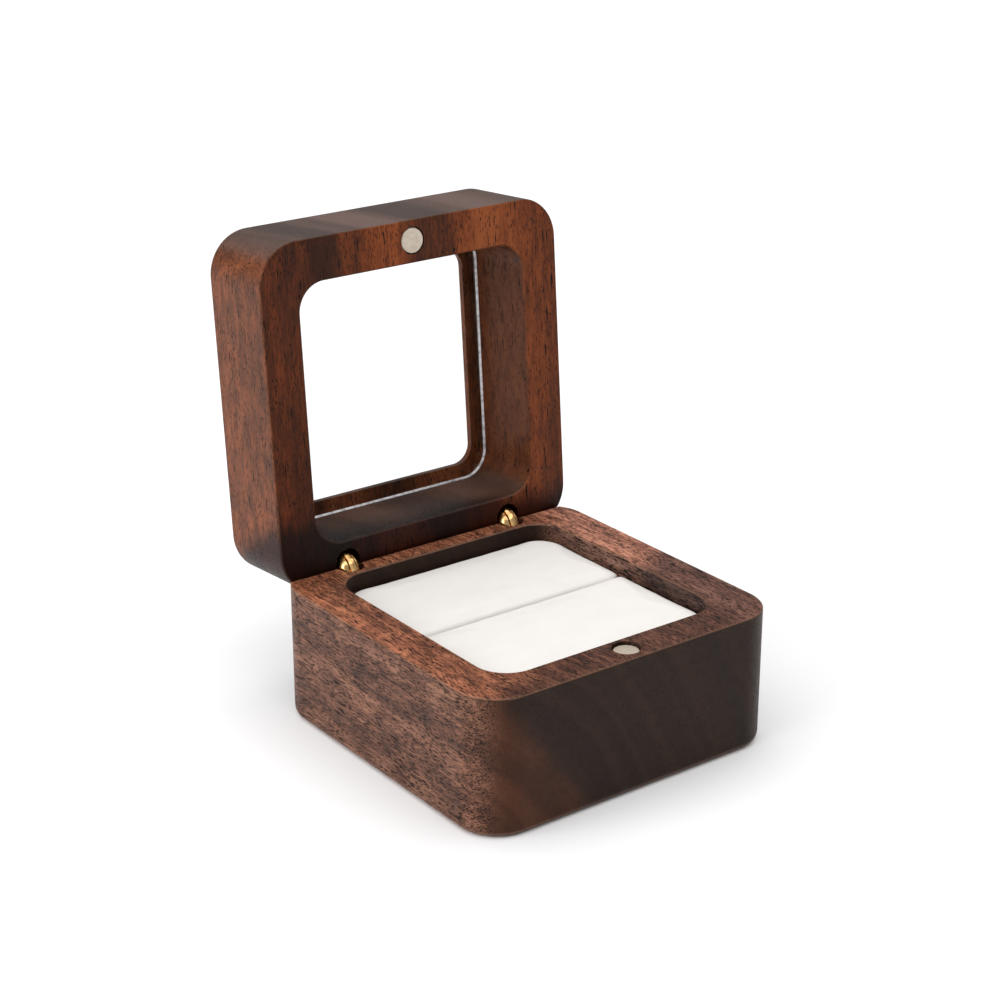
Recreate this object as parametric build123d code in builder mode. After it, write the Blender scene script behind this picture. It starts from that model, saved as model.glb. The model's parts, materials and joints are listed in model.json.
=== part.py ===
"""Walnut ring box: a base block and a windowed lid on two brass barrel hinges, standing open.

Frame: X runs along the hinge line, +Y to the back, +Z up; the origin is the centre of the underside.
The lid's pieces are drawn on LID, a plane lying on the lid's mating face. On it they have the plan
coordinates of the closed box, with the hinge side at +Y, and heights run into the lid.
"""
import os
from math import cos, radians, sin, tan

from build123d import *

# ---------------------------------------------------------------- driving dimensions, mm and degrees
BOX_SIDE = 60.0             # both blocks are square in plan
CORNER_RADIUS = 7.4
BASE_HEIGHT = 24.0
LID_THICKNESS = 16.5
MATING_GAP = 0.1            # daylight between the closed blocks
FOOT_ROUND = 1.6            # round-over of the base's underside
LID_ROUND = 0.9             # round-over of the lid's outer face
EDGE_EASE = 0.4             # broken outer edges of both mating faces
RIM_EASE = 0.25             # broken edges of the openings

CAVITY_SIDE_WALL = 7.5
CAVITY_FRONT_WALL = 6.8
CAVITY_BACK_WALL = 6.7
CAVITY_RADIUS = 5.5
CAVITY_DEPTH = 20.0

WINDOW_SIDE_RAIL = 7.25
WINDOW_FRONT_RAIL = 7.4
WINDOW_BACK_RAIL = 7.45
WINDOW_RADIUS = 5.0
LEDGE_WIDTH = 2.6           # step that the pane lands on
LEDGE_THICKNESS = 1.4
LEDGE_RADIUS = 3.5
PANE_THICKNESS = 1.0
PANE_CLEARANCE = 0.1
BEAD_SIZE = 0.35            # adhesive run around the pane
BEAD_CLEARANCE = 0.02

OPEN_ANGLE = 94.3           # from closed to the stop
HINGE_SPREAD = 34.0         # between the two hinges
HINGE_INSET = 3.6           # hinge axis in from the back face
BARREL_RADIUS = 2.35
BARREL_LENGTH = 10.4        # from the mating face to the barrel's blind end
BARREL_HOLE_RADIUS = 2.4
BARREL_HOLE_DEPTH = 10.6
BARREL_CHAMFER = 0.3
GLUE_RINGS = 4              # grooves turned around each barrel to key the glue
GLUE_RING_PITCH = 1.5
GLUE_RING_WIDTH = 0.5
GLUE_RING_DEPTH = 0.15
PIN_DEPTH = 1.2             # pin below its own mating face
PIN_RADIUS = 0.4
PIN_SEAT_RADIUS = 0.41      # in the barrels, where the pin is held
PIN_BORE_RADIUS = 0.43      # in the links, which turn on the pin
PIN_LENGTH = 3.5
LINK_END_RADIUS = 1.7       # rounded ends of each link plate, about the pins
LINK_BELLY_RADIUS = 2.0     # bulge of the plates between the pins
LINK_SWING_GAP = 0.2        # link end to the solid part of the barrel
LINK_BREAK = 0.08           # broken edges of the link plates
CENTRE_LINK_WIDTH = 1.2
TONGUE_THICKNESS = 0.16     # the barrel's two tongues that hold its pin
TONGUE_RADIUS = 1.0
LEAF_CLEARANCE = 0.03       # between a tongue and the links beside it

MAGNET_RADIUS = 2.2
MAGNET_HOLE_RADIUS = 2.36
MAGNET_THICKNESS = 2.0
MAGNET_INSET = 3.6          # magnet centre in from the front face
MAGNET_CHAMFER = 0.15
BASE_MAGNET_SINK = 0.5
LID_MAGNET_SINK = 0.05

BOARD_THICKNESS = 1.0
PAD_CLEARANCE = 0.1         # board and cushions to the cavity wall
PAD_TOP = 21.6
PAD_ROUND = 0.9             # rounding of the cushions' top edges
SLOT_Y = 1.5                # the ring slot lies a little behind the middle
SLOT_WIDTH = 0.4
VELVET_THICKNESS = 0.7
FOAM_CLEARANCE = 0.05       # between the foam and its velvet

# ---------------------------------------------------------------- derived places
HALF = BOX_SIDE / 2
FLOOR_Z = BASE_HEIGHT - CAVITY_DEPTH
BOARD_TOP = FLOOR_Z + BOARD_THICKNESS
PANE_INNER = LID_THICKNESS - LEDGE_THICKNESS - PANE_THICKNESS
MAGNET_Y = MAGNET_INSET - HALF
HINGE_Y = HALF - HINGE_INSET
HINGE_CENTRES = [(-HINGE_SPREAD / 2, HINGE_Y), (HINGE_SPREAD / 2, HINGE_Y)]
SPLIT_Z = BASE_HEIGHT + MATING_GAP / 2
PIN_HALF_SPACING = PIN_DEPTH + MATING_GAP / 2
# Each pin takes half of the opening, so the lid as a whole turns about one line on the split plane.
POLE_Y = HINGE_Y + PIN_HALF_SPACING * tan(radians(OPEN_ANGLE / 4))
BARREL_SOLID_DEPTH = PIN_DEPTH + LINK_END_RADIUS + LINK_SWING_GAP
TONGUE_X = CENTRE_LINK_WIDTH / 2 + LEAF_CLEARANCE + TONGUE_THICKNESS / 2
SIDE_LINK_X = TONGUE_X + TONGUE_THICKNESS / 2 + LEAF_CLEARANCE


def opened(y, z):
    """Where a point of the closed lid lies once the lid stands open."""
    turn = radians(OPEN_ANGLE)
    dy, dz = y - POLE_Y, z - SPLIT_Z
    return POLE_Y + dy * cos(turn) + dz * sin(turn), SPLIT_Z - dy * sin(turn) + dz * cos(turn)


def leaning_plane(x, y, z, angle):
    """A level plane tipped backwards by angle about its own X axis."""
    turn = radians(angle)
    return Plane(origin=(x, y, z), x_dir=(1, 0, 0), z_dir=(0, sin(turn), cos(turn)))


def side_of(plane, x=0.0):
    """The plane across X at x, on which the first axis is plane's Y and the second its normal."""
    return Plane(origin=plane.from_local_coords((x, 0, 0)), x_dir=plane.y_dir, z_dir=plane.x_dir)


def normal_axis(plane):
    return Axis(plane.origin, plane.z_dir)


BASE_TOP = Plane.XY.offset(BASE_HEIGHT)
LID = leaning_plane(0, *opened(0, BASE_HEIGHT + MATING_GAP), OPEN_ANGLE)


# ---------------------------------------------------------------- shared outlines and cuts
def square_block(block, plane, height, low_round, high_round):
    """Square block with round corners, its lower and upper outer edges rounded."""
    with BuildSketch(plane) as plan:
        RectangleRounded(BOX_SIDE, BOX_SIDE, CORNER_RADIUS)
    extrude(plan.sketch, amount=height)
    fillet(block.edges().group_by(normal_axis(plane))[0], low_round)
    fillet(block.edges().group_by(normal_axis(plane))[-1], high_round)


def opening_outline(side, front, back, radius, inset=0.0):
    """Rounded opening that leaves the given rails around it, drawn smaller by inset all round."""
    with Locations((0, (front - back) / 2)):
        RectangleRounded(
            BOX_SIDE - 2 * (side + inset), BOX_SIDE - front - back - 2 * inset, radius - inset
        )


def cavity_outline(inset=0.0):
    opening_outline(CAVITY_SIDE_WALL, CAVITY_FRONT_WALL, CAVITY_BACK_WALL, CAVITY_RADIUS, inset)


def window_outline(inset=0.0):
    opening_outline(WINDOW_SIDE_RAIL, WINDOW_FRONT_RAIL, WINDOW_BACK_RAIL, WINDOW_RADIUS, inset)


def bevel_back_edge(mating, into):
    """Bevel the back mating edge at half the opening, so that the bevels meet as the open stop.

    into is the way into the block. The edge is rounded about the pin, so the blocks roll past each
    other with the same gap all the way from closed to open.
    """
    lean = radians(OPEN_ANGLE / 2)
    over = 1.0
    run = HALF + over - HINGE_Y - PIN_DEPTH * sin(lean)
    fall = PIN_DEPTH * (1 - cos(lean))
    with BuildSketch(side_of(mating)) as waste:
        with BuildLine():
            start = (HINGE_Y, 0)
            middle = (HINGE_Y + PIN_DEPTH * sin(lean / 2), into * PIN_DEPTH * (1 - cos(lean / 2)))
            end = (HINGE_Y + PIN_DEPTH * sin(lean), into * fall)
            ThreePointArc(start, middle, end)
            Polyline(
                end,
                (HALF + over, into * (fall + run * tan(lean))),
                (HALF + over, -into * over),
                (HINGE_Y, -into * over),
                start,
            )
        make_face()
    extrude(waste.sketch, amount=BOX_SIDE, both=True, mode=Mode.SUBTRACT)


def drill(mating, centres, radius, depth):
    """Round blind holes; a negative depth goes against the plane's normal."""
    with BuildSketch(mating) as holes:
        with Locations(*centres):
            Circle(radius)
    extrude(holes.sketch, amount=depth, mode=Mode.SUBTRACT)


# ---------------------------------------------------------------- walnut blocks
def make_base_block():
    with BuildPart() as base_block:
        square_block(base_block, Plane.XY, BASE_HEIGHT, FOOT_ROUND, EDGE_EASE)
        with BuildSketch(BASE_TOP):
            cavity_outline()
        extrude(amount=-CAVITY_DEPTH, mode=Mode.SUBTRACT)
        chamfer(base_block.edges(Select.LAST).group_by(Axis.Z)[-1], RIM_EASE)
        bevel_back_edge(BASE_TOP, -1)
        drill(BASE_TOP, HINGE_CENTRES, BARREL_HOLE_RADIUS, -BARREL_HOLE_DEPTH)
        drill(BASE_TOP, [(0, MAGNET_Y)], MAGNET_HOLE_RADIUS, -(BASE_MAGNET_SINK + MAGNET_THICKNESS))
    return base_block.part


def make_lid_frame():
    outwards = normal_axis(LID)
    with BuildPart() as lid_frame:
        square_block(lid_frame, LID, LID_THICKNESS, EDGE_EASE, LID_ROUND)
        with BuildSketch(LID):
            window_outline()
        extrude(amount=LID_THICKNESS - LEDGE_THICKNESS, mode=Mode.SUBTRACT)
        chamfer(lid_frame.edges(Select.LAST).group_by(outwards)[0], RIM_EASE)
        with BuildSketch(LID):
            opening_outline(
                WINDOW_SIDE_RAIL + LEDGE_WIDTH,
                WINDOW_FRONT_RAIL + LEDGE_WIDTH,
                WINDOW_BACK_RAIL + LEDGE_WIDTH,
                LEDGE_RADIUS,
            )
        extrude(amount=LID_THICKNESS, mode=Mode.SUBTRACT)
        chamfer(lid_frame.edges(Select.LAST).group_by(outwards)[-1], RIM_EASE)
        bevel_back_edge(LID, 1)
        drill(LID, HINGE_CENTRES, BARREL_HOLE_RADIUS, BARREL_HOLE_DEPTH)
        drill(LID, [(0, MAGNET_Y)], MAGNET_HOLE_RADIUS, LID_MAGNET_SINK + MAGNET_THICKNESS)
    return lid_frame.part


# ---------------------------------------------------------------- window
def make_window_pane():
    with BuildPart() as window_pane:
        with BuildSketch(LID.offset(PANE_INNER)):
            window_outline(PANE_CLEARANCE)
        extrude(amount=PANE_THICKNESS)
    return window_pane.part


def make_pane_adhesive():
    """Bead in the corner between the pane's inner face and the walnut around it."""
    with BuildPart() as pane_adhesive:
        with BuildSketch(LID.offset(PANE_INNER)):
            window_outline(BEAD_CLEARANCE)
        extrude(amount=-BEAD_SIZE)
        with BuildSketch(LID.offset(PANE_INNER)):
            window_outline(BEAD_SIZE)
        extrude(amount=-BEAD_SIZE, mode=Mode.SUBTRACT)
        mouth = pane_adhesive.edges(Select.LAST).group_by(normal_axis(LID))[0]
        chamfer(mouth, 0.7 * BEAD_SIZE)
    return pane_adhesive.part


# ---------------------------------------------------------------- magnets
def make_magnet(face):
    """Disc whose outer face lies on the plane face, with the disc behind it."""
    with BuildPart() as magnet:
        with BuildSketch(face):
            Circle(MAGNET_RADIUS)
        extrude(amount=-MAGNET_THICKNESS)
        chamfer(magnet.edges().filter_by(GeomType.CIRCLE), MAGNET_CHAMFER)
    return magnet.part


# ---------------------------------------------------------------- barrel hinges
def make_barrel(mouth):
    """Grooved barrel behind the plane mouth, with two tongues that carry the pin."""
    with BuildPart() as barrel:
        with BuildSketch(mouth.offset(-BARREL_SOLID_DEPTH)):
            Circle(BARREL_RADIUS)
        extrude(amount=BARREL_SOLID_DEPTH - BARREL_LENGTH)
        chamfer(barrel.edges().group_by(normal_axis(mouth))[0], BARREL_CHAMFER)
        for ring in range(GLUE_RINGS):
            with BuildSketch(mouth.offset(-BARREL_SOLID_DEPTH - (ring + 0.5) * GLUE_RING_PITCH)):
                Circle(BARREL_HOLE_RADIUS)
                Circle(BARREL_RADIUS - GLUE_RING_DEPTH, mode=Mode.SUBTRACT)
            extrude(amount=-GLUE_RING_WIDTH, mode=Mode.SUBTRACT)
        for x in (-TONGUE_X, TONGUE_X):
            with BuildSketch(side_of(mouth, x)):
                with Locations((0, -PIN_DEPTH)):
                    Circle(TONGUE_RADIUS)
                with Locations((0, -(PIN_DEPTH + BARREL_SOLID_DEPTH) / 2)):
                    Rectangle(2 * TONGUE_RADIUS, BARREL_SOLID_DEPTH - PIN_DEPTH)
                with Locations((0, -PIN_DEPTH)):
                    Circle(PIN_SEAT_RADIUS, mode=Mode.SUBTRACT)
            extrude(amount=TONGUE_THICKNESS / 2, both=True)
    return barrel.part


def make_pin(mouth):
    with BuildPart() as pin:
        with BuildSketch(side_of(mouth)):
            with Locations((0, -PIN_DEPTH)):
                Circle(PIN_RADIUS)
        extrude(amount=PIN_LENGTH / 2, both=True)
    return pin.part


def link_outline():
    """Barrel-shaped outline about both pins, in a plane whose Y runs from the lower pin to the upper."""
    with Locations((0, 0), (0, 2 * PIN_HALF_SPACING)):
        Circle(LINK_END_RADIUS)
    with Locations((0, PIN_HALF_SPACING)):
        Circle(LINK_BELLY_RADIUS)
    make_hull()


def make_link(leaning, x_from, x_to):
    """Link plate between two X positions, cut from a pack that is turned to a round knuckle.

    leaning stands on the lower pin's centre with its normal towards the upper pin.
    """
    with BuildPart() as link:
        with BuildSketch(side_of(leaning, x_from)) as plate:
            link_outline()
            with Locations((0, 0), (0, 2 * PIN_HALF_SPACING)):
                Circle(PIN_BORE_RADIUS, mode=Mode.SUBTRACT)
        extrude(plate.sketch, amount=x_to - x_from)
        with BuildSketch(side_of(leaning)) as half_knuckle:
            link_outline()
            with Locations((LINK_BELLY_RADIUS, PIN_HALF_SPACING)):
                Rectangle(2 * LINK_BELLY_RADIUS, 8 * LINK_BELLY_RADIUS, mode=Mode.INTERSECT)
        revolve(half_knuckle.sketch, axis=normal_axis(leaning), mode=Mode.INTERSECT)
        flats = link.faces().filter_by(Axis.X)
        fillet([edge for flat in flats for edge in flat.outer_wire().edges()], LINK_BREAK)
    return link.part


# ---------------------------------------------------------------- ring cushion
def pad_body(pad, y_low, y_high, inset, mode=Mode.ADD):
    """One cushion standing on the board, smaller by inset; gives back its top edges."""
    with BuildSketch(Plane.XY.offset(BOARD_TOP)) as plan:
        cavity_outline(PAD_CLEARANCE + inset)
        with Locations((0, (y_low + y_high) / 2)):
            Rectangle(BOX_SIDE, y_high - y_low - 2 * inset, mode=Mode.INTERSECT)
    extrude(plan.sketch, amount=PAD_TOP - inset - BOARD_TOP, mode=mode)
    return pad.edges(Select.LAST).group_by(Axis.Z)[-1]


def make_foam(y_low, y_high):
    with BuildPart() as foam:
        top = pad_body(foam, y_low, y_high, VELVET_THICKNESS + FOAM_CLEARANCE)
        fillet(top, PAD_ROUND - VELVET_THICKNESS)
    return foam.part


def make_velvet(y_low, y_high):
    """Fabric over the foam's top and sides, open underneath."""
    with BuildPart() as velvet:
        top = pad_body(velvet, y_low, y_high, 0)
        fillet(top, PAD_ROUND)
        pad_body(velvet, y_low, y_high, VELVET_THICKNESS, mode=Mode.SUBTRACT)
    return velvet.part


def make_insert_board():
    with BuildPart() as insert_board:
        with BuildSketch(Plane.XY.offset(FLOOR_Z)):
            cavity_outline(PAD_CLEARANCE)
        extrude(amount=BOARD_THICKNESS)
    return insert_board.part


# ---------------------------------------------------------------- assembly
def mouth_plane(mating, x, outwards):
    """Plane on a mating face at one hinge, with its normal out of the wood."""
    centre = mating.from_local_coords((x, HINGE_Y, 0))
    return Plane(origin=centre, x_dir=(1, 0, 0), z_dir=mating.z_dir * outwards)


def magnet_face(mating, sink, outwards):
    """Plane on a magnet's outer face, sunk below the mating face, with its normal out of the wood."""
    centre = mating.from_local_coords((0, MAGNET_Y, -outwards * sink))
    return Plane(origin=centre, x_dir=(1, 0, 0), z_dir=mating.z_dir * outwards)


def hinge_parts(side, x):
    """One barrel hinge: two barrels, a pin in each, and three link plates on the pins."""
    base_mouth = mouth_plane(BASE_TOP, x, 1)
    lid_mouth = mouth_plane(LID, x, -1)
    leaning = leaning_plane(x, HINGE_Y, BASE_HEIGHT - PIN_DEPTH, OPEN_ANGLE / 2)
    low_link = make_link(leaning, -LINK_BELLY_RADIUS, -SIDE_LINK_X)
    high_link = make_link(leaning, SIDE_LINK_X, LINK_BELLY_RADIUS)
    return {
        f"{side}_base_barrel": make_barrel(base_mouth),
        f"{side}_base_pin": make_pin(base_mouth),
        f"{side}_lid_barrel": make_barrel(lid_mouth),
        f"{side}_lid_pin": make_pin(lid_mouth),
        f"{side}_centre_link": make_link(leaning, -CENTRE_LINK_WIDTH / 2, CENTRE_LINK_WIDTH / 2),
        f"{side}_outer_link": low_link if x < 0 else high_link,
        f"{side}_inner_link": high_link if x < 0 else low_link,
    }


def cushion_parts():
    """A foam and its velvet in front of the ring slot, and another pair behind it."""
    slot_front, slot_back = SLOT_Y - SLOT_WIDTH / 2, SLOT_Y + SLOT_WIDTH / 2
    return {
        "front_foam": make_foam(-HALF, slot_front),
        "front_velvet": make_velvet(-HALF, slot_front),
        "rear_foam": make_foam(slot_back, HALF),
        "rear_velvet": make_velvet(slot_back, HALF),
    }


parts = {
    "base_block": make_base_block(),
    "base_magnet": make_magnet(magnet_face(BASE_TOP, BASE_MAGNET_SINK, 1)),
    "insert_board": make_insert_board(),
    "lid_frame": make_lid_frame(),
    "lid_magnet": make_magnet(magnet_face(LID, LID_MAGNET_SINK, -1)),
    "window_pane": make_window_pane(),
    "pane_adhesive": make_pane_adhesive(),
    **cushion_parts(),
    **hinge_parts("left", -HINGE_SPREAD / 2),
    **hinge_parts("right", HINGE_SPREAD / 2),
}

os.makedirs("parts", exist_ok=True)
for name, part in parts.items():
    part.label = name
    export_step(part, f"parts/{name}.step")

print("lower pins' axis passes", (0, HINGE_Y, BASE_HEIGHT - PIN_DEPTH))
print("upper pins' axis passes", tuple(LID.from_local_coords((0, HINGE_Y, PIN_DEPTH))))
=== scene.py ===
"""Looks of the walnut ring box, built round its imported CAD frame.

The hard CAD nodes keep their shapes and get procedural materials. The two halves of the cushion are
sewn and swollen pieces of their own, which stand for the plain foam and velvet solids.
"""
import json
from math import cos, pi, radians, sin

import bmesh
import bpy
from mathutils import Matrix, Vector, noise


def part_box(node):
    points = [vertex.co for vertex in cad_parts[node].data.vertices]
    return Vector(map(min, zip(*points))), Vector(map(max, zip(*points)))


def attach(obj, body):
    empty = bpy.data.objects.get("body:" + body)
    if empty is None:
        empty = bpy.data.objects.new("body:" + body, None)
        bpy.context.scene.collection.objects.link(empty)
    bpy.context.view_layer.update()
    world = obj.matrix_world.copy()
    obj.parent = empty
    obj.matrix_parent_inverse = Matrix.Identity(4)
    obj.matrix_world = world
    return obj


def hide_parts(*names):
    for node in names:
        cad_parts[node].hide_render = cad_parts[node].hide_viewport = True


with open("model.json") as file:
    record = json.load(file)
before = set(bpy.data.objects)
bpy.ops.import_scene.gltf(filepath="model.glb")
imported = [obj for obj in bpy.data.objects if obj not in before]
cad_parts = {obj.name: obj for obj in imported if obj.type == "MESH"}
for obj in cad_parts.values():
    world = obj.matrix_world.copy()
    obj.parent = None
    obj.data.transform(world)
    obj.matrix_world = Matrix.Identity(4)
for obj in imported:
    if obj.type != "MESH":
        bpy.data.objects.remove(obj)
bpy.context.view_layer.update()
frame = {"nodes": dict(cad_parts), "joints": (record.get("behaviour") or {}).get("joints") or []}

MM = 0.001
JOINTS = {joint["name"]: joint for joint in frame["joints"]}


# ---------------------------------------------------------------- materials
class Graph:
    """Short spelling for one material's node tree."""

    def __init__(self, name):
        self.material = bpy.data.materials.new(name)
        self.material.use_nodes = True
        self.tree = self.material.node_tree
        self.tree.nodes.clear()

    def node(self, kind, inputs=None, **settings):
        made = self.tree.nodes.new("ShaderNode" + kind)
        for key, value in settings.items():
            setattr(made, key, value)
        for key, value in (inputs or {}).items():
            self.feed(made.inputs[key], value)
        return made

    def feed(self, socket, value):
        if isinstance(value, bpy.types.NodeSocket):
            self.tree.links.new(value, socket)
        else:
            socket.default_value = value

    def math(self, operation, first, second=0.0, clamp=False):
        return self.node("Math", {0: first, 1: second}, operation=operation, use_clamp=clamp).outputs[0]

    def vector(self, operation, first, second):
        return self.node("VectorMath", {0: first, 1: second}, operation=operation).outputs[0]

    def dot(self, first, second):
        return self.node("VectorMath", {0: first, 1: second}, operation="DOT_PRODUCT").outputs["Value"]

    def in_mm(self, place=None):
        """A place in metres as millimetres; without one, the point on the piece at rest."""
        if place is None:
            place = self.node("TexCoord").outputs["Object"]
        return self.vector("MULTIPLY", place, (1 / MM, 1 / MM, 1 / MM))

    def noise(self, place, per_mm, detail=2.0, roughness=0.5):
        """Noise from 0 to 1; per_mm is how many of its grains lie in a millimetre along X, Y and Z."""
        scaled = self.vector("MULTIPLY", place, per_mm)
        inputs = {"Vector": scaled, "Scale": 1.0, "Detail": detail, "Roughness": roughness}
        return self.node("TexNoise", inputs).outputs["Fac"]

    def rise(self, value, low, high, start=0.0, end=1.0):
        """Smooth step from start to end while value goes from low to high."""
        inputs = {"Value": value, "From Min": low, "From Max": high, "To Min": start, "To Max": end}
        return self.node("MapRange", inputs, interpolation_type="SMOOTHSTEP").outputs[0]

    def ramp(self, value, stops):
        made = self.node("ValToRGB", {"Fac": value})
        bar = made.color_ramp.elements
        while len(bar) < len(stops):
            bar.new(0.5)
        for mark, (at, colour) in zip(bar, stops):
            mark.position = at
            mark.color = (*colour, 1.0)
        return made.outputs["Color"]

    def mix(self, factor, first, second, blend="MIX"):
        made = self.node("Mix", data_type="RGBA", blend_type=blend)
        colours = [s for s in made.inputs if s.type == "RGBA"]
        self.feed(made.inputs[0], factor)
        for socket, value in zip(colours, (first, second)):
            self.feed(socket, value if isinstance(value, bpy.types.NodeSocket) else (*value, 1.0))
        return next(s for s in made.outputs if s.type == "RGBA")

    def bump(self, height, distance, strength=1.0):
        """distance is the relief's height in metres."""
        return self.node("Bump", {"Height": height, "Distance": distance, "Strength": strength}).outputs[0]

    def finish(self, shader):
        self.node("OutputMaterial", {"Surface": shader})
        return self.material


def closed_pose():
    """Matrix that takes a point of the lid at rest to its place when the box is shut."""
    whole = Matrix.Identity(4)
    for name in ("links_on_base", "lid_on_links"):
        joint = JOINTS[name]
        pin = Matrix.Translation(joint["pos_m"])
        turn = Matrix.Rotation(radians(joint["range_deg"][1]), 4, Vector(joint["axis"]))
        whole = whole @ pin @ turn @ pin.inverted()
    return whole


# how many grains of each part of the wood's figure lie in a millimetre along X, Y and Z
DRIFT_PER_MM = (0.045, 0.016, 0.045)
STREAKS_PER_MM = (0.42, 0.020, 0.42)
FIBRES_PER_MM = (3.6, 0.22, 3.6)
MOTTLE_PER_MM = (0.75, 0.20, 0.55)
PORES_PER_MM = (4.4, 0.75, 4.4)
CROWDING_PER_MM = (0.5, 0.16, 0.5)
LONG_PORES_PER_MM = (3.0, 0.24, 3.0)
SMOKE_PER_MM = (0.11, 0.04, 0.11)

FIGURE_SPREAD = ((0.28, 0.72), (0.3, 0.7), (0.3, 0.7), (0.32, 0.68))   # rings, streaks, fibres, mottle
RING_WARP = 5.0                 # most, in mm, that the growth rings stray sideways
END_SPECKLE = 0.16              # share of fibres and mottle on the end grain
PORE_RAGGED = 2.0               # how far drift bends the pores, in grains
PORE_BORDER = 0.05
PORE_SHADE = 0.10               # a pore's colour, as a share of the darkest tone
PORE_ON_LONG_GRAIN = 0.97
PORE_ON_END_GRAIN = 0.20
RELIEF = 0.05 * MM
RUBBED_WOOD_AND_HIGHLIGHT = (0.30, 0.16, 0.10)


def walnut(name, to_closed, pith, rings_per_mm, tones, paler, seed, shares, pores, end_bands, end_dark_and_sheen,
           zones, painted_light_by_facing, edge_wear_and_highlight):
    """Solid walnut with its grain along Y of the shut box; all lengths here are in millimetres.

    pith is the X and Z that the growth rings lie around. paler is how far the figure climbs its tones
    with each millimetre to the right. shares weigh the rings, streaks, fibres and mottle in the figure.
    pores is how thickly the pores lie, from 0 to 1. end_bands are the figure's least and most from the
    rings on the end grain, and end_dark_and_sheen is how much of the light the end grain keeps; a greyer
    tint there is painted sheen. zones are darker or paler patches, and on the lid one of them is painted
    shade: a point on the border, the way into the zone, the half width of its smoky border, its tint,
    and how much of it shows on long grain and on end grain. painted_light_by_facing are painted light
    and shade on whole faces by the way they face, matched to the tone of the photograph: the way that
    the faces look, how far out that way they begin, and their tint. edge_wear_and_highlight is how pale
    the broken edges are painted, for rubbed wear and a painted highlight along them.
    """
    g = Graph(name)
    where = g.node("TexCoord")
    place = g.node("Mapping", {
        "Vector": where.outputs["Object"],
        "Location": to_closed.to_translation(),
        "Rotation": to_closed.to_euler(),
    }).outputs[0]
    normal = g.node("Mapping", {
        "Vector": where.outputs["Normal"], "Rotation": to_closed.to_euler(),
    }, vector_type="NORMAL").outputs[0]
    lie = g.node("SeparateXYZ", {0: normal})
    end = g.rise(g.math("ABSOLUTE", lie.outputs[1]), 0.45, 0.97)
    point = g.in_mm(place)
    shifted = g.vector("ADD", point, seed)

    # figure: growth rings round the pith, warped slowly along the trunk
    drift = g.node("TexNoise", {
        "Vector": g.vector("MULTIPLY", shifted, DRIFT_PER_MM), "Scale": 1.0, "Detail": 2.0,
    }).outputs["Color"]
    warp = g.vector("MULTIPLY", g.vector("SUBTRACT", drift, (0.5, 0.5, 0.5)), (RING_WARP, 0.0, RING_WARP))
    from_pith = g.vector("SUBTRACT", g.vector("ADD", point, warp), (pith[0], 0.0, pith[1]))
    across = g.vector("MULTIPLY", from_pith, (1.0, 0.0, 1.0))
    radius = g.node("VectorMath", {0: across}, operation="LENGTH").outputs["Value"]
    rings = g.node("TexNoise", {
        "W": g.math("MULTIPLY", radius, rings_per_mm), "Scale": 1.0, "Detail": 2.0, "Roughness": 0.5,
    }, noise_dimensions="1D").outputs["Fac"]
    streaks = g.noise(shifted, STREAKS_PER_MM, detail=4.0, roughness=0.6)
    fibres = g.noise(shifted, FIBRES_PER_MM, detail=3.0, roughness=0.6)
    mottle = g.noise(shifted, MOTTLE_PER_MM, detail=4.0, roughness=0.7)
    figure = g.math("MULTIPLY", g.node("SeparateXYZ", {0: point}).outputs[0], paler)
    for part, (low, high), share in zip((rings, streaks, fibres, mottle), FIGURE_SPREAD, shares):
        figure = g.math("ADD", figure, g.math("MULTIPLY", g.rise(part, low, high), share))
    # the planed end grain shows its broad rings, and little else
    grainy = g.math("MULTIPLY", g.math("SUBTRACT", g.math("ADD", fibres, mottle), 1.0), END_SPECKLE)
    bands = g.math("ADD", g.rise(rings, 0.3, 0.7, *end_bands), grainy)
    figure = g.math("ADD", figure, g.math("MULTIPLY", end, g.math("SUBTRACT", bands, figure)))
    colour = g.ramp(figure, tones)

    # pores: short dark dashes along the grain, which open as dots on the end grain
    strayed = g.vector("MULTIPLY", drift, (PORE_RAGGED, PORE_RAGGED, PORE_RAGGED))
    ragged = g.vector("ADD", g.vector("MULTIPLY", shifted, PORES_PER_MM), strayed)
    cells = g.node("TexVoronoi", {"Vector": ragged, "Scale": 1.0}).outputs["Distance"]
    crowding = g.noise(shifted, CROWDING_PER_MM, detail=3.0, roughness=0.6)
    reach = g.rise(crowding, 0.30, 0.70, 0.10 + 0.19 * pores, 0.20 + 0.25 * pores)
    dashes = g.rise(g.math("SUBTRACT", reach, cells), 0.0, PORE_BORDER)
    long_cells = g.noise(shifted, LONG_PORES_PER_MM, detail=1.0, roughness=0.4)
    long_dashes = g.rise(g.math("SUBTRACT", long_cells, 0.70 - 0.05 * pores), 0.0, PORE_BORDER)
    pore = g.math("MAXIMUM", dashes, long_dashes)
    shown = g.math("MULTIPLY", pore, g.rise(end, 0.3, 1.0, PORE_ON_LONG_GRAIN, PORE_ON_END_GRAIN))
    colour = g.mix(shown, colour, tuple(PORE_SHADE * c for c in tones[0][1]))

    # end grain drinks the oil and goes darker; on the lid its greyer tint is also painted sheen
    colour = g.mix(end, colour, end_dark_and_sheen, blend="MULTIPLY")

    # zones of darker or paler patches, with smoky borders; on the lid one is painted shade where its face
    # meets the base
    smoke = g.noise(shifted, SMOKE_PER_MM, detail=4.0, roughness=0.6)
    for border, into, width, tint, long_share, end_share in zones:
        side = g.dot(g.vector("SUBTRACT", point, border), into)
        smoky = g.math("ADD", side, g.math("MULTIPLY", g.math("SUBTRACT", smoke, 0.5), 2.0 * width))
        share = g.rise(end, 0.0, 1.0, long_share, end_share)
        inside = g.math("MULTIPLY", g.rise(smoky, -width, width), share)
        colour = g.mix(inside, colour, tint, blend="MULTIPLY")

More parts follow.
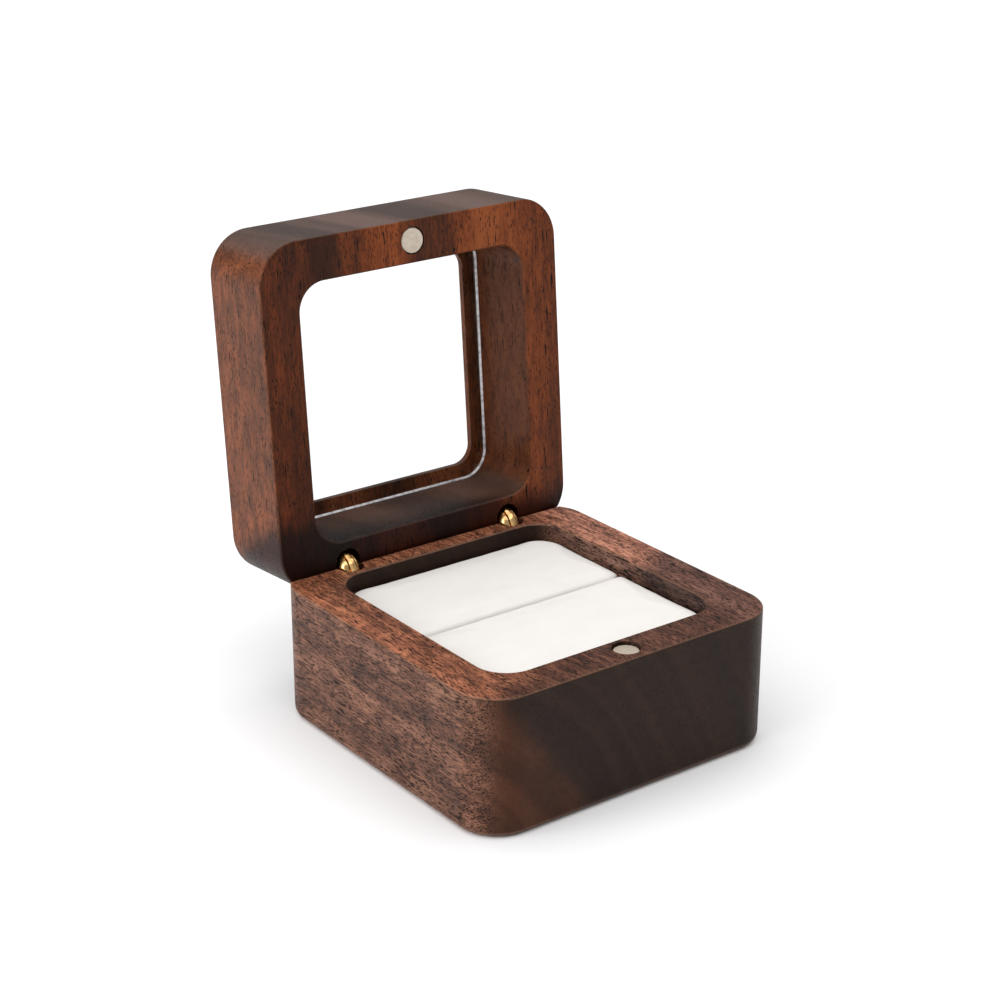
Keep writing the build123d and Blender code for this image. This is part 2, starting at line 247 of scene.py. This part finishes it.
    # painted light and shade on whole faces by the way they face, fitted to the photograph
    for facing, beyond, tint in painted_light_by_facing:
        toward = g.rise(g.dot(normal, facing), 0.5, 0.95)
        out = g.rise(g.dot(point, facing), beyond - 0.5, beyond)
        colour = g.mix(g.math("MULTIPLY", toward, out), colour, tint, blend="MULTIPLY")

    # the broken edges are painted paler, partly as rubbed wear and partly as a painted highlight, but not
    # on the hinge bevels
    level = g.math("ABSOLUTE", lie.outputs[2])
    upright = g.math("SQRT", g.math("SUBTRACT", 1.0, g.math("MULTIPLY", level, level), clamp=True))
    edge = g.math("MULTIPLY", g.rise(g.math("MULTIPLY", level, upright), 0.2, 0.5), edge_wear_and_highlight)
    edge = g.math("MULTIPLY", edge, g.rise(lie.outputs[1], 0.40, 0.65, 1.0, 0.0))
    colour = g.mix(edge, colour, RUBBED_WOOD_AND_HIGHLIGHT)

    polish = g.math("ADD", g.rise(fibres, 0.3, 0.7, 0.38, 0.50), g.math("MULTIPLY", pore, 0.25))
    relief = g.math("SUBTRACT", g.math("MULTIPLY", fibres, 0.25), pore)
    shader = g.node("BsdfPrincipled", {
        "Base Color": colour,
        "Roughness": polish,
        "Normal": g.bump(relief, RELIEF, 0.5),
        "Specular IOR Level": 0.17,
    })
    return g.finish(shader.outputs[0])


def metal(name, colour, dark_patch_colour, rough, scratches, dark_patch_share):
    """Metal with blotches of dark_patch_colour, partly tarnish and partly painted dark reflection;
    scratches is how many cross a millimetre.
    """
    g = Graph(name)
    place = g.in_mm()
    lines = g.noise(place, (scratches, 0.4 * scratches, 0.15 * scratches), detail=3.0)
    # dark blotches: partly tarnish, partly painted dark reflection
    blotch = g.noise(place, (0.9, 0.9, 0.9), detail=3.0, roughness=0.6)
    dark_patch = g.math("MULTIPLY", g.rise(blotch, 0.35, 0.75), dark_patch_share)
    scratched = g.rise(lines, 0.3, 0.7, rough, rough + 0.12)
    shader = g.node("BsdfPrincipled", {
        "Base Color": g.mix(dark_patch, colour, dark_patch_colour),
        "Metallic": 1.0,
        "Roughness": g.math("ADD", scratched, g.math("MULTIPLY", dark_patch, 0.2)),
        "Normal": g.bump(lines, 0.004 * MM, 0.5),
    })
    return g.finish(shader.outputs[0])


def clear_pane(name):
    """Clear glass that lets lamps through, with a faint haze of handling."""
    g = Graph(name)
    place = g.in_mm()
    haze = g.noise(place, (0.12, 0.12, 0.12), detail=3.0)
    glass = g.node("BsdfPrincipled", {
        "Base Color": (0.985, 0.992, 0.99, 1.0),
        "Roughness": g.rise(haze, 0.4, 0.8, 0.0, 0.008),
        "IOR": 1.49,
        "Transmission Weight": 1.0,
    })
    through = g.node("BsdfTransparent", {"Color": (0.97, 0.98, 0.975, 1.0)})
    lamp = g.node("LightPath").outputs["Is Shadow Ray"]
    return g.finish(g.node("MixShader", {0: lamp, 1: glass.outputs[0], 2: through.outputs[0]}).outputs[0])


def adhesive(name):
    """Glue bead, lumpy along its length, painted grey-white as light along the pane's edge."""
    g = Graph(name)
    place = g.in_mm()
    lumps = g.noise(place, (1.3, 1.3, 1.3), detail=3.0)
    shader = g.node("BsdfPrincipled", {
        # grey-white colour is painted light: the bright line where light comes through at the pane's edge
        "Base Color": g.ramp(lumps, [(0.30, (0.42, 0.40, 0.42)), (0.60, (0.86, 0.84, 0.86))]),
        "Roughness": g.rise(lumps, 0.3, 0.7, 0.08, 0.22),
        "Normal": g.bump(lumps, 0.12 * MM, 0.8),
        "Coat Weight": 0.6,
        "Coat Roughness": 0.08,
    })
    return g.finish(shader.outputs[0])


def velvet(name):
    """Short-pile velvet: fine nap, and soft patches where the pile lies another way."""
    g = Graph(name)
    place = g.in_mm()
    pile = g.noise(place, (5.5, 5.5, 5.5), detail=3.0, roughness=0.7)
    brushed = g.noise(place, (0.16, 0.3, 0.2), detail=3.0, roughness=0.55)
    tone = g.math("ADD", g.math("MULTIPLY", g.rise(brushed, 0.3, 0.7), 0.6),
                  g.math("MULTIPLY", g.rise(pile, 0.3, 0.7), 0.4))
    creams = [(0.1, (0.82, 0.787, 0.75)), (0.55, (0.835, 0.805, 0.77)), (1.0, (0.85, 0.823, 0.79))]
    shader = g.node("BsdfPrincipled", {
        "Base Color": g.ramp(tone, creams),
        "Roughness": g.rise(pile, 0.3, 0.7, 0.85, 1.0),
        "Normal": g.bump(pile, 0.08 * MM, 0.7),
        "Specular IOR Level": 0.1,
        "Sheen Weight": 0.35,
        "Sheen Roughness": 0.45,
        "Sheen Tint": (1.0, 0.98, 0.95, 1.0),
    })
    return g.finish(shader.outputs[0])


def card(name):
    """Grey-brown board with paper fibres."""
    g = Graph(name)
    place = g.in_mm()
    pulp = g.noise(place, (2.5, 4.0, 2.5), detail=4.0, roughness=0.7)
    shader = g.node("BsdfPrincipled", {
        "Base Color": g.ramp(pulp, [(0.3, (0.33, 0.29, 0.24)), (0.7, (0.48, 0.43, 0.36))]),
        "Roughness": g.rise(pulp, 0.3, 0.7, 0.8, 0.95),
        "Normal": g.bump(pulp, 0.03 * MM, 0.5),
    })
    return g.finish(shader.outputs[0])


def dress(material, *nodes):
    """Put a material on CAD nodes."""
    for node in nodes:
        for slot in frame["nodes"][node].material_slots:
            slot.material = material


BASE_TONES = [
    (0.20, (0.062, 0.026, 0.016)),
    (0.42, (0.122, 0.051, 0.029)),
    (0.62, (0.205, 0.090, 0.052)),
    (0.85, (0.300, 0.142, 0.084)),
]
LID_TONES = [
    (0.18, (0.036, 0.010, 0.003)),
    (0.42, (0.090, 0.024, 0.006)),
    (0.62, (0.160, 0.042, 0.011)),
    (0.85, (0.225, 0.068, 0.022)),
]

dress(walnut(
    "walnut_base", Matrix.Identity(4), pith=(-72.0, -34.0), rings_per_mm=0.22, tones=BASE_TONES, paler=0.0,
    seed=(11.0, 4.0, 7.0), shares=(0.16, 0.08, 0.40, 0.36), pores=1.0, end_bands=(0.41, 0.58),
    end_dark_and_sheen=(0.365, 0.262, 0.172),
    zones=[
        ((-19.0, 0.0, 12.0), (0.83, 0.0, 0.55), 3.0, (0.36, 0.44, 0.49), 0.30, 1.0),
        ((-10.0, -20.0, 24.0), (0.45, -0.89, 0.0), 4.0, (0.29, 0.30, 0.35), 0.9, 0.0),
        ((22.0, 0.0, 0.0), (1.0, 0.0, 0.0), 4.0, (1.42, 1.62, 2.00), 0.9, 0.0),
    ],
    # painted light on the faces turned up, painted shade on the faces turned left
    painted_light_by_facing=[
        ((0.0, 0.0, 1.0), 22.0, (2.05, 1.66, 1.45)),
        ((-1.0, 0.0, 0.0), 24.0, (0.89, 0.88, 0.92)),
    ],
    # paler rim edges: rubbed wear and a painted highlight along the round-over
    edge_wear_and_highlight=0.28,
), "base_block")
dress(walnut(
    "walnut_lid", closed_pose(), pith=(-166.0, 20.0), rings_per_mm=0.085, tones=LID_TONES, paler=0.0065,
    seed=(5.0, 21.0, 35.0), shares=(0.50, 0.09, 0.19, 0.22), pores=0.55, end_bands=(0.35, 0.64),
    # the lid's greyer end-grain tint is partly painted sheen on its end faces
    end_dark_and_sheen=(0.55, 0.60, 0.80),
    zones=[
        # painted shade: the lid's face darkens where it meets the base by the hinges
        ((0.0, 20.5, 24.5), (-0.1, 0.86, -0.5), 2.5, (0.16, 0.095, 0.07), 1.0, 1.0),
        ((-17.0, 0.0, 0.0), (-1.0, 0.0, 0.0), 6.0, (0.76, 0.72, 0.66), 1.0, 0.3),
    ],
    # painted light and shade by facing: darker faces turned to -X, painted light and greyish sheen on the
    # outer left face and faces turned to -Y, warmer faces turned to -Z
    painted_light_by_facing=[
        ((-1.0, 0.0, 0.0), -60.0, (0.80, 0.80, 0.82)),
        ((-1.0, 0.0, 0.0), 24.0, (2.35, 2.70, 4.0)),
        ((0.0, 0.0, -1.0), -26.0, (1.15, 0.95, 0.70)),
        ((0.0, -1.0, 0.0), -60.0, (1.0, 1.65, 3.1)),
        ((0.0, -1.0, 0.0), 24.0, (1.45, 1.80, 2.25)),
    ],
    edge_wear_and_highlight=0.06,
), "lid_frame")

HINGE_NODES = [node for node in frame["nodes"] if node.endswith(("_barrel", "_pin", "_link"))]
dress(metal(
    # the brass's dark blotches are partly painted dark reflection
    "brass", (0.98, 0.63, 0.27), dark_patch_colour=(0.34, 0.12, 0.025), rough=0.10, scratches=9.0, dark_patch_share=0.7,
), *HINGE_NODES)
dress(metal(
    "nickel", (0.70, 0.61, 0.51), dark_patch_colour=(0.52, 0.44, 0.35), rough=0.42, scratches=6.0, dark_patch_share=0.5,
), "base_magnet", "lid_magnet")
dress(clear_pane("clear_pane"), "window_pane")
dress(adhesive("glue_bead_painted_light"), "pane_adhesive")
dress(card("pulp_board"), "insert_board")


# ---------------------------------------------------------------- cushion
SEWN_SCALE = 12.0           # the cloth is simulated this many times life size, and shrunk again
VOXEL = 0.5 * MM
START_INSET = 0.15 * MM     # the sewn cover starts this much inside its room, and swells
CORNER_AT_WALL = 5.3 * MM
CORNER_AT_SLOT = 0.9 * MM
EDGE_ROUND = 0.6 * MM
CORNER_STEPS = 8
ROUND_STEPS = 6
LEAST_RADIUS = 0.1 * MM
SLOT_CLOSE = 0.19 * MM      # the foam presses the two halves together above the open slot
CLOTH_FRAMES = 20
HELD_HEIGHT = 2.0 * MM      # the cloth doesn't move the cover below this
PILLOW = 0.30 * MM          # most that the swelling may move a point
CROWN = 0.22 * MM           # how much the middle of the top stands up
SOFT_DEPTH = 4 * MM         # crown, puckers and sags fade out over this depth
PUCKER = 0.10 * MM
PUCKERS_PER_M = 420
SAG = 0.04 * MM
SAGS_PER_M = 90


def outline(low, high, radii):
    """Rounded rectangle as a list of points; radii start at the corner low X, low Y and go round."""
    corners = [
        (low[0], low[1], 1, 1), (high[0], low[1], -1, 1),
        (high[0], high[1], -1, -1), (low[0], high[1], 1, -1),
    ]
    points = []
    for quarter, ((x, y, sx, sy), radius) in enumerate(zip(corners, radii)):
        for step in range(CORNER_STEPS + 1):
            turn = pi + pi / 2 * (quarter + step / CORNER_STEPS)
            points.append((x + sx * radius + radius * cos(turn), y + sy * radius + radius * sin(turn)))
    return points


def cushion_block(low, high, radii, round_over):
    """Closed block with round corners and a rounded top edge, as rings of vertices."""
    mesh = bmesh.new()
    levels = [(low.z, 0.0), (high.z - round_over, 0.0)]
    for step in range(1, ROUND_STEPS + 1):
        turn = pi / 2 * step / ROUND_STEPS
        levels.append((high.z - round_over * (1 - sin(turn)), round_over * (1 - cos(turn))))
    rings = []
    for z, inset in levels:
        shrunk = [max(radius - inset, LEAST_RADIUS) for radius in radii]
        plan = outline((low.x + inset, low.y + inset), (high.x - inset, high.y - inset), shrunk)
        rings.append([mesh.verts.new((x, y, z)) for x, y in plan])
    for lower, upper in zip(rings, rings[1:]):
        count = len(lower)
        for i in range(count):
            mesh.faces.new((lower[i], lower[(i + 1) % count], upper[(i + 1) % count], upper[i]))
    mesh.faces.new(reversed(rings[0]))
    mesh.faces.new(rings[-1])
    return mesh


def evaluated_mesh(piece):
    graph = bpy.context.evaluated_depsgraph_get()
    return bpy.data.meshes.new_from_object(piece.evaluated_get(graph), depsgraph=graph)


def swell(piece):
    """Blow the cover up a little with cloth pressure; its lower part stays where it is."""
    still = piece.vertex_groups.new(name="still")
    held = min(v.co.z for v in piece.data.vertices) + HELD_HEIGHT * SEWN_SCALE
    still.add([v.index for v in piece.data.vertices if v.co.z < held], 1.0, "REPLACE")
    cloth = piece.modifiers.new("cloth", "CLOTH")
    cloth.settings.quality = 5
    cloth.settings.mass = 0.3
    cloth.settings.tension_stiffness = 15.0
    cloth.settings.compression_stiffness = 15.0
    cloth.settings.shear_stiffness = 8.0
    cloth.settings.bending_stiffness = 2.0
    cloth.settings.use_pressure = True
    cloth.settings.uniform_pressure_force = 4.0
    cloth.settings.vertex_group_mass = "still"
    cloth.settings.effector_weights.gravity = 0.0
    for moment in range(1, CLOTH_FRAMES + 1):
        bpy.context.scene.frame_set(moment)
    swollen = evaluated_mesh(piece)
    piece.modifiers.remove(cloth)
    bpy.context.scene.frame_set(1)
    most = PILLOW * SEWN_SCALE
    for before, after in zip(piece.data.vertices, swollen.vertices):
        move = after.co - before.co
        before.co += move * min(1.0, most / max(move.length, 1e-9))
    bpy.data.meshes.remove(swollen)


def settle(vertex, low, high):
    """Finish one point of the cover: crown the top, pucker the tucked edges, and keep to its room."""
    half = (high - low) / 2
    middle = (high + low) / 2
    u = (vertex.co.x - middle.x) / half.x
    v = (vertex.co.y - middle.y) / half.y
    up = min(max((vertex.co.z - (high.z - SOFT_DEPTH)) / SOFT_DEPTH, 0.0), 1.0)
    bow = (1 - u * u) * (1 - v * v)
    near_edge = max(abs(u) ** 12, abs(v) ** 8)
    pucker = noise.noise(Vector((vertex.co.x * PUCKERS_PER_M, vertex.co.y * PUCKERS_PER_M, 3.0)))
    sag = noise.noise(Vector((vertex.co.x * SAGS_PER_M, vertex.co.y * SAGS_PER_M, 9.0)))
    vertex.co.z += up * (CROWN * (bow - 0.6) + PUCKER * pucker * near_edge + SAG * sag)
    for axis in range(3):
        vertex.co[axis] = min(max(vertex.co[axis], low[axis]), high[axis])


def make_cushion(name, velvet_node, foam_node, radii):
    """One half of the ring cushion: foam in a sewn velvet cover, in the room of its CAD solids."""
    low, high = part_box(velvet_node)
    if abs(low.y) < abs(high.y):
        low.y -= SLOT_CLOSE
    else:
        high.y += SLOT_CLOSE
    inset = Vector((START_INSET, START_INSET, 0.0))
    block = cushion_block(low + inset, high - inset - Vector((0, 0, START_INSET)), radii, EDGE_ROUND)
    bmesh.ops.scale(block, vec=(SEWN_SCALE,) * 3, verts=block.verts)
    mesh = bpy.data.meshes.new(name)
    block.to_mesh(mesh)
    block.free()
    piece = bpy.data.objects.new(name, mesh)
    bpy.context.scene.collection.objects.link(piece)
    voxels = piece.modifiers.new("voxels", "REMESH")
    voxels.mode = "VOXEL"
    voxels.voxel_size = VOXEL * SEWN_SCALE
    piece.data = evaluated_mesh(piece)
    piece.modifiers.remove(voxels)
    swell(piece)
    piece.data.transform(Matrix.Scale(1 / SEWN_SCALE, 4))
    for vertex in piece.data.vertices:
        settle(vertex, low, high)
    smooth = piece.modifiers.new("smooth", "SMOOTH")
    smooth.factor = 0.5
    smooth.iterations = 2
    finer = piece.modifiers.new("finer", "SUBSURF")
    finer.levels = 1
    finer.render_levels = 1
    piece.data = evaluated_mesh(piece)
    piece.modifiers.clear()
    piece.data.name = name
    piece.data.polygons.foreach_set("use_smooth", [True] * len(piece.data.polygons))
    piece.data.materials.clear()
    piece.data.materials.append(COVER)
    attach(piece, "base")
    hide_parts(velvet_node, foam_node)


COVER = velvet("cream_velvet")
WALL_SIDE = (CORNER_AT_WALL, CORNER_AT_WALL)
SLOT_SIDE = (CORNER_AT_SLOT, CORNER_AT_SLOT)
make_cushion("front_cushion", "front_velvet", "front_foam", WALL_SIDE + SLOT_SIDE)
make_cushion("rear_cushion", "rear_velvet", "rear_foam", SLOT_SIDE + WALL_SIDE)


# ---------------------------------------------------------------- studio
def pale_floor(reach):
    """Square floor under the box, reach metres out from its middle."""
    mesh = bpy.data.meshes.new("floor")
    corners = [(-reach, -reach, 0.0), (reach, -reach, 0.0), (reach, reach, 0.0), (-reach, reach, 0.0)]
    mesh.from_pydata(corners, [], [(0, 1, 2, 3)])
    floor = bpy.data.objects.new("floor", mesh)
    bpy.context.scene.collection.objects.link(floor)
    g = Graph("pale_floor")
    shader = g.node("BsdfPrincipled", {"Base Color": (0.95, 0.95, 0.955, 1.0), "Roughness": 0.9,
                                       "Specular IOR Level": 0.1})
    floor.data.materials.append(g.finish(shader.outputs[0]))


def softbox(name, place, aim, size, power):
    """Square area light at place, facing aim."""
    data = bpy.data.lights.new(name, "AREA")
    data.shape = "SQUARE"
    data.size = size
    data.energy = power
    light = bpy.data.objects.new(name, data)
    light.location = place
    light.rotation_euler = (Vector(aim) - Vector(place)).to_track_quat("-Z", "Y").to_euler()
    bpy.context.scene.collection.objects.link(light)


def overhead(strength, spread):
    """Even light from above, as through a large diffuser; spread is its angle in degrees."""
    data = bpy.data.lights.new("overhead", "SUN")
    data.energy = strength
    data.angle = radians(spread)
    light = bpy.data.objects.new("overhead", data)
    bpy.context.scene.collection.objects.link(light)


def room(brightness):
    """Plain white surroundings."""
    world = bpy.data.worlds.new("room")
    world.use_nodes = True
    shade = world.node_tree.nodes["Background"]
    shade.inputs["Color"].default_value = (1.0, 1.0, 1.0, 1.0)
    shade.inputs["Strength"].default_value = brightness
    bpy.context.scene.world = world


def camera(target, azimuth, elevation, distance, lens):
    """Camera on target from an azimuth and elevation in degrees; azimuth 0 looks along +Y."""
    data = bpy.data.cameras.new("camera")
    data.sensor_width = 36.0
    data.lens = lens
    data.clip_start = 0.01
    data.clip_end = 20.0
    view = bpy.data.objects.new("camera", data)
    a, e = radians(azimuth), radians(elevation)
    back = Vector((sin(a) * cos(e), -cos(a) * cos(e), sin(e)))
    view.location = Vector(target) + back * distance
    view.rotation_euler = back.to_track_quat("Z", "Y").to_euler()
    bpy.context.scene.collection.objects.link(view)
    bpy.context.scene.camera = view


pale_floor(reach=4.0)
room(brightness=0.34)
overhead(strength=2.45, spread=100.0)
softbox("left_box", place=(-0.60, 0.05, 0.25), aim=(0.0, 0.0, 0.04), size=0.45, power=2.0)
camera(target=(-0.00497, 0.0, 0.04167), azimuth=-36.77, elevation=21.68, distance=0.3563, lens=79.54)
bpy.context.scene.view_settings.view_transform = "Standard"
